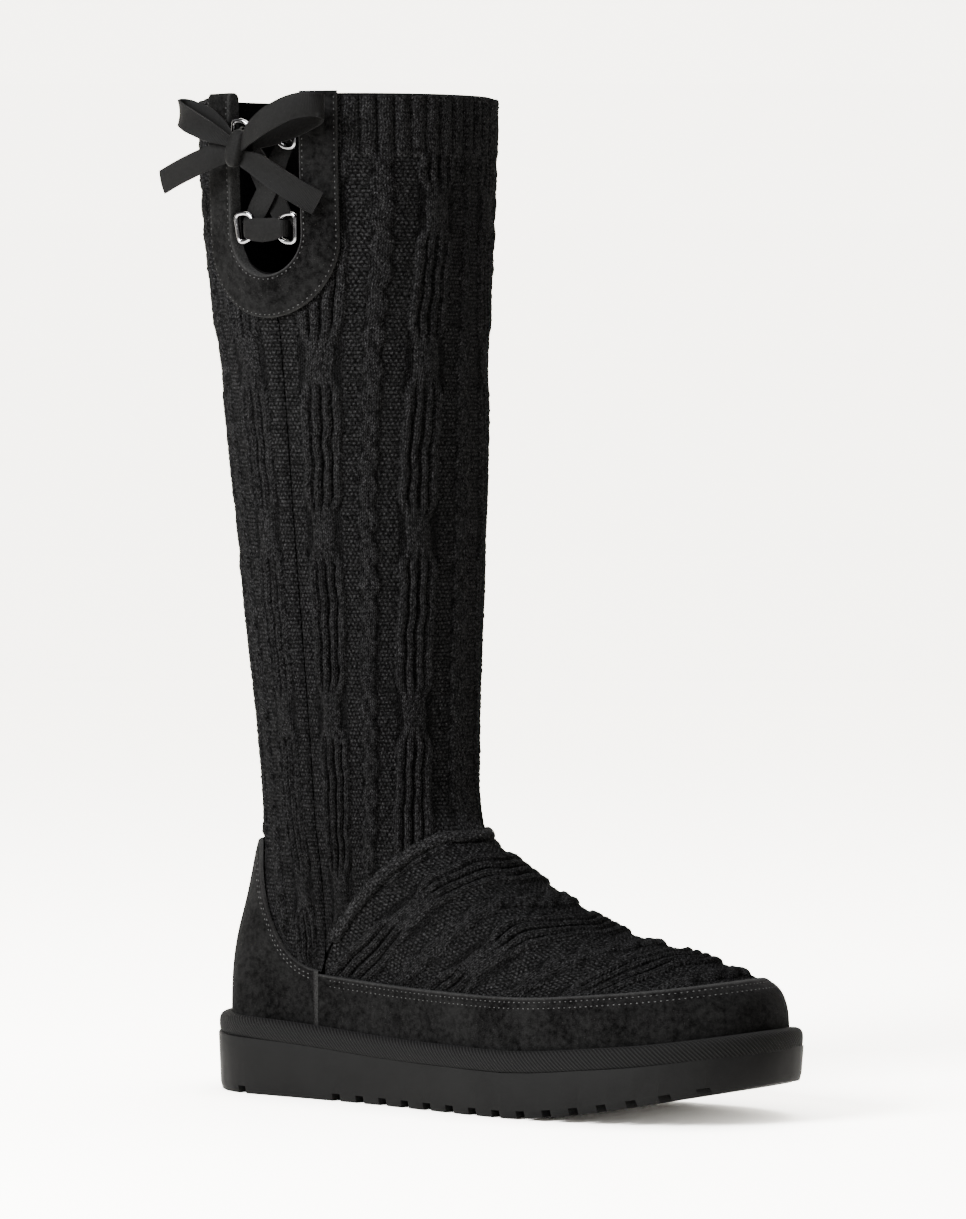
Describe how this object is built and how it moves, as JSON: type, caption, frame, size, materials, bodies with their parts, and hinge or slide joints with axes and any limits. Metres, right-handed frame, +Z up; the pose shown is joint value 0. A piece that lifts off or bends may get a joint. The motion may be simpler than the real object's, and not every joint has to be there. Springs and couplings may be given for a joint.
{
  "type": "sweater boot",
  "caption": "Knee-high black cable-knit boot for the right foot, with a suede foxing and heel counter, a thick lugged rubber sole, and a ribbon bow laced through D rings at the collar.",
  "frame": {"origin": "on the floor under the middle of the sole's length", "axes": "+X to the toe, -Y to the outer side of the foot, +Z up the leg"},
  "size_m": [0.2771, 0.1304, 0.413],
  "materials": {
    "sole": "matte moulded rubber",
    "tape": "woven twill tape",
    "suede": "suede with a short nap",
    "knit": "cable knit in matte yarn",
    "lining": "brushed lining",
    "metal": "polished nickel",
    "ribbon": "grosgrain ribbon"
  },
  "bodies": {
    "root": {"outsole": "sole", "binding": "tape", "foxing": "suede", "heel_counter": "suede", "upper": "knit", "collar_patch": "suede", "vamp_seam": "knit", "insole": "lining", "d_ring_lower_front": "metal", "d_ring_lower_back": "metal", "d_ring_upper_front": "metal", "d_ring_upper_back": "metal", "lace_crossings": "ribbon", "bow_knot": "ribbon", "bow_loop_front": "ribbon", "bow_loop_back": "ribbon", "bow_end_front": "ribbon", "bow_end_back": "ribbon"}
  },
  "joints": []
}
